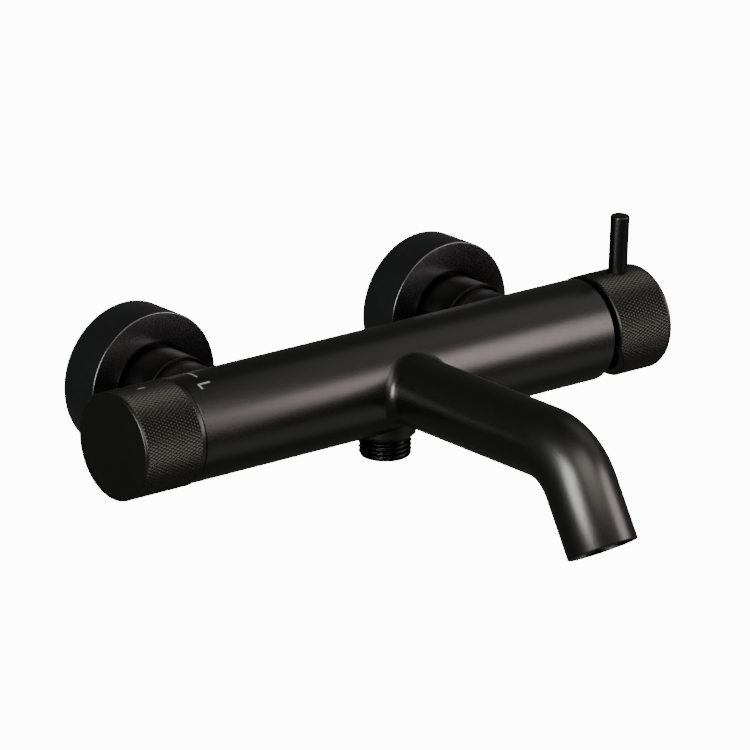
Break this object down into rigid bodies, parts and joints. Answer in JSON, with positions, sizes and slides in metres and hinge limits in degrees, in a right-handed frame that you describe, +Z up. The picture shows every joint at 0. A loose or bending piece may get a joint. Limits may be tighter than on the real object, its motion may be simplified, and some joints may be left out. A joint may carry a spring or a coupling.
{
  "type": "wall mounted bath mixer tap",
  "caption": "Wall mounted bath mixer in dark satin metal: long round body, knurled end knobs, upright pin lever, bent spout, threaded shower outlet below, round wall covers.",
  "frame": {"origin": "on the wall plane, midway between the two water inlets, at the height of the body's axis", "axes": "+X along the body from the diverter knob to the mixer knob, +Y into the wall, +Z up"},
  "size_m": [0.265, 0.2248, 0.0866],
  "materials": {
    "dark_plated_brass": "satin dark plating over brass",
    "dark_knurled_brass": "knurled, satin dark plating",
    "dark_steel": "satin dark plating over steel",
    "dark_thread_brass": "dark plated thread",
    "brass": "machined",
    "stainless_steel": "plain",
    "ceramic": "lapped alumina ceramic",
    "acetal": "moulded",
    "rubber": "matt"
  },
  "bodies": {
    "faucet_body": {"body_casting": "dark_plated_brass", "inlet_tail_left": "brass", "inlet_tail_right": "brass", "union_nut_left": "dark_plated_brass", "union_nut_right": "dark_plated_brass", "union_washer_left": "rubber", "union_washer_right": "rubber", "inlet_strainer_left": "stainless_steel", "inlet_strainer_right": "stainless_steel", "eccentric_union_left": "brass", "eccentric_union_right": "brass", "rosette_left": "dark_steel", "rosette_right": "dark_steel", "rosette_seal_left": "rubber", "rosette_seal_right": "rubber", "spout_tube": "dark_plated_brass", "aerator_housing": "dark_plated_brass", "aerator_insert": "acetal", "aerator_gasket": "rubber", "shower_nipple": "dark_thread_brass", "nipple_o_ring": "rubber", "check_valve_body": "acetal", "check_valve_spring": "stainless_steel", "cartridge_base": "acetal", "cartridge_seal_hot": "rubber", "cartridge_seal_cold": "rubber", "cartridge_seal_mixed": "rubber", "cartridge_fixed_disc": "ceramic", "cartridge_housing": "acetal", "clamp_nut": "brass", "diverter_bush": "brass", "bush_o_ring": "rubber", "diverter_fixed_disc": "ceramic", "diverter_gasket": "rubber"},
    "mixer_rotor": {"lever_rotor": "acetal", "rotor_o_ring": "rubber", "pivot_pin": "stainless_steel"},
    "disc_carriage": {"cartridge_moving_disc": "ceramic", "disc_carrier": "acetal"},
    "mixer_lever": {"lever_stem": "stainless_steel", "mixer_knob": "dark_knurled_brass", "mixer_pin_lever": "dark_steel", "mixer_grub_screw": "stainless_steel"},
    "diverter_rotor": {"diverter_spindle": "brass", "diverter_rotating_disc": "ceramic", "spindle_o_ring": "rubber", "spindle_clip": "stainless_steel", "spline_adapter": "acetal", "diverter_knob": "dark_knurled_brass", "diverter_grub_screw": "stainless_steel"},
    "check_valve_poppet": {"check_valve_poppet": "acetal"}
  },
  "joints": [
    {"name": "mixer_turn", "type": "hinge", "parent": "faucet_body", "child": "mixer_rotor", "pos_m": [0.09, -0.0675, 0], "axis": [1, 0, 0], "range_deg": [-52.5, 47.5]},
    {"name": "mixer_tilt", "type": "hinge", "parent": "mixer_rotor", "child": "mixer_lever", "pos_m": [0.09, -0.0675, 0], "axis": [0, 0.999, 0.0436], "range_deg": [0, 24]},
    {"name": "disc_slide", "type": "slide", "parent": "mixer_rotor", "child": "disc_carriage", "axis": [0, -0.0436, 0.999], "range_m": [0, 0.0044]},
    {"name": "diverter_turn", "type": "hinge", "parent": "faucet_body", "child": "diverter_rotor", "pos_m": [-0.1, -0.0675, 0], "axis": [1, 0, 0], "range_deg": [-90, 0]},
    {"name": "check_valve_lift", "type": "slide", "parent": "faucet_body", "child": "check_valve_poppet", "axis": [0, 0, -1], "range_m": [0, 0.002], "stiffness_N_per_m": 60, "springref_m": -0.003, "deforming": ["check_valve_spring"]}
  ],
  "couplings": [
    {"joint": "disc_slide", "follows": "mixer_tilt", "m_per_rad": 0.010487}
  ]
}
